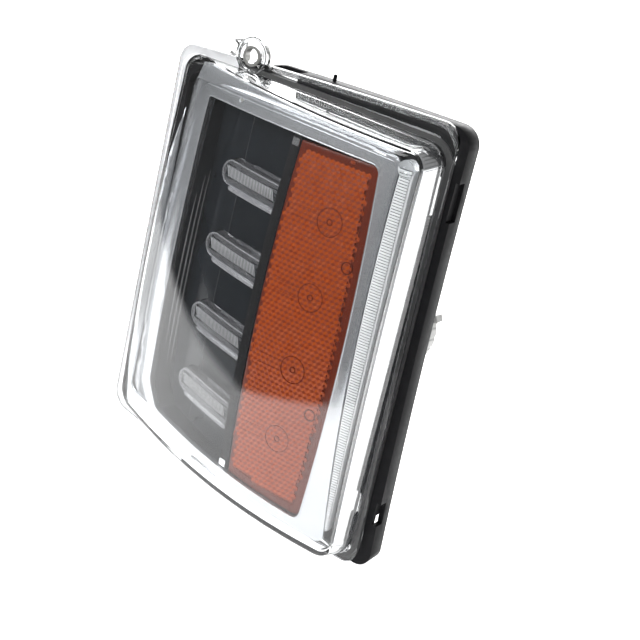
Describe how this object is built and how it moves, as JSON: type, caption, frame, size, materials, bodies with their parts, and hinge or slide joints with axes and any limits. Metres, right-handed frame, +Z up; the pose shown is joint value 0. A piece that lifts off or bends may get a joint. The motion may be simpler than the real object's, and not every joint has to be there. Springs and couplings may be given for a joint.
{
  "type": "front corner lamp",
  "caption": "Front corner lamp: clear swept lens over a silver frame, slotted black panel with light bars and an amber turn-signal window, with a twist-lock bulb holder behind.",
  "frame": {"origin": "a point on the housing's flat back face, behind the middle of the lit face", "axes": "+Z up as mounted, +Y back into the car, so the lamp shines along -Y; +X to the right seen from in front"},
  "size_m": [0.1571, 0.072, 0.217],
  "materials": {
    "clear_lens": "clear moulded plastic, polished outside, ribbed inside its right wall",
    "clear_guide": "clear acrylic with fine cross ribs",
    "black_housing": "satin black, filled polypropylene",
    "black_gloss": "gloss black inner panel",
    "black_trim": "satin black",
    "silver_frame": "silver-painted plastic",
    "bright_clip": "bright plated",
    "amber_window": "amber acrylic with a reflex pattern",
    "circuit_board": "green solder mask",
    "lamp_chip": "phosphor-coated chip",
    "chip_black": "moulded component bodies",
    "heat_sink": "plain extruded aluminium",
    "zinc_steel": "zinc plated steel",
    "bright_bowl": "vacuum metallised",
    "bulb_glass": "thin clear glass",
    "bulb_metal": "nickel plated",
    "grey_holder": "light grey moulded nylon",
    "seal_rubber": "soft black rubber",
    "sealant": "dark butyl sealant",
    "tinned_brass": "tinned brass"
  },
  "bodies": {
    "lamp": {"outer_lens": "clear_lens", "ear_sleeve": "zinc_steel", "lens_seal": "sealant", "housing": "black_housing", "frame_bezel": "silver_frame", "inner_carrier": "black_trim", "black_panel": "black_gloss", "divider_trim": "black_trim", "divider_clips": "bright_clip", "amber_lens": "amber_window", "side_light_guide": "clear_guide", "side_led_board": "circuit_board", "lamp_board": "circuit_board", "board_leds": "lamp_chip", "board_parts": "chip_black", "heat_sink": "heat_sink", "board_screws": "zinc_steel", "frame_screws": "zinc_steel", "carrier_screws": "zinc_steel", "turn_reflector": "bright_bowl", "connector_socket": "black_housing", "connector_pins": "tinned_brass", "vent_cap": "black_trim", "light_guide_1": "clear_guide", "light_guide_2": "clear_guide", "light_guide_3": "clear_guide", "light_guide_4": "clear_guide", "mount_stud_upper": "zinc_steel", "mount_stud_lower": "zinc_steel"},
    "turn_holder": {"bulb_holder": "grey_holder", "holder_terminals": "tinned_brass", "holder_seal": "seal_rubber", "bulb_base": "bulb_metal", "bulb_glass": "bulb_glass"}
  },
  "joints": [
    {"name": "holder_twist", "type": "hinge", "parent": "lamp", "child": "turn_holder", "pos_m": [0.041, 0, 0.003], "axis": [0, 1, 0], "range_deg": [0, 30]}
  ]
}
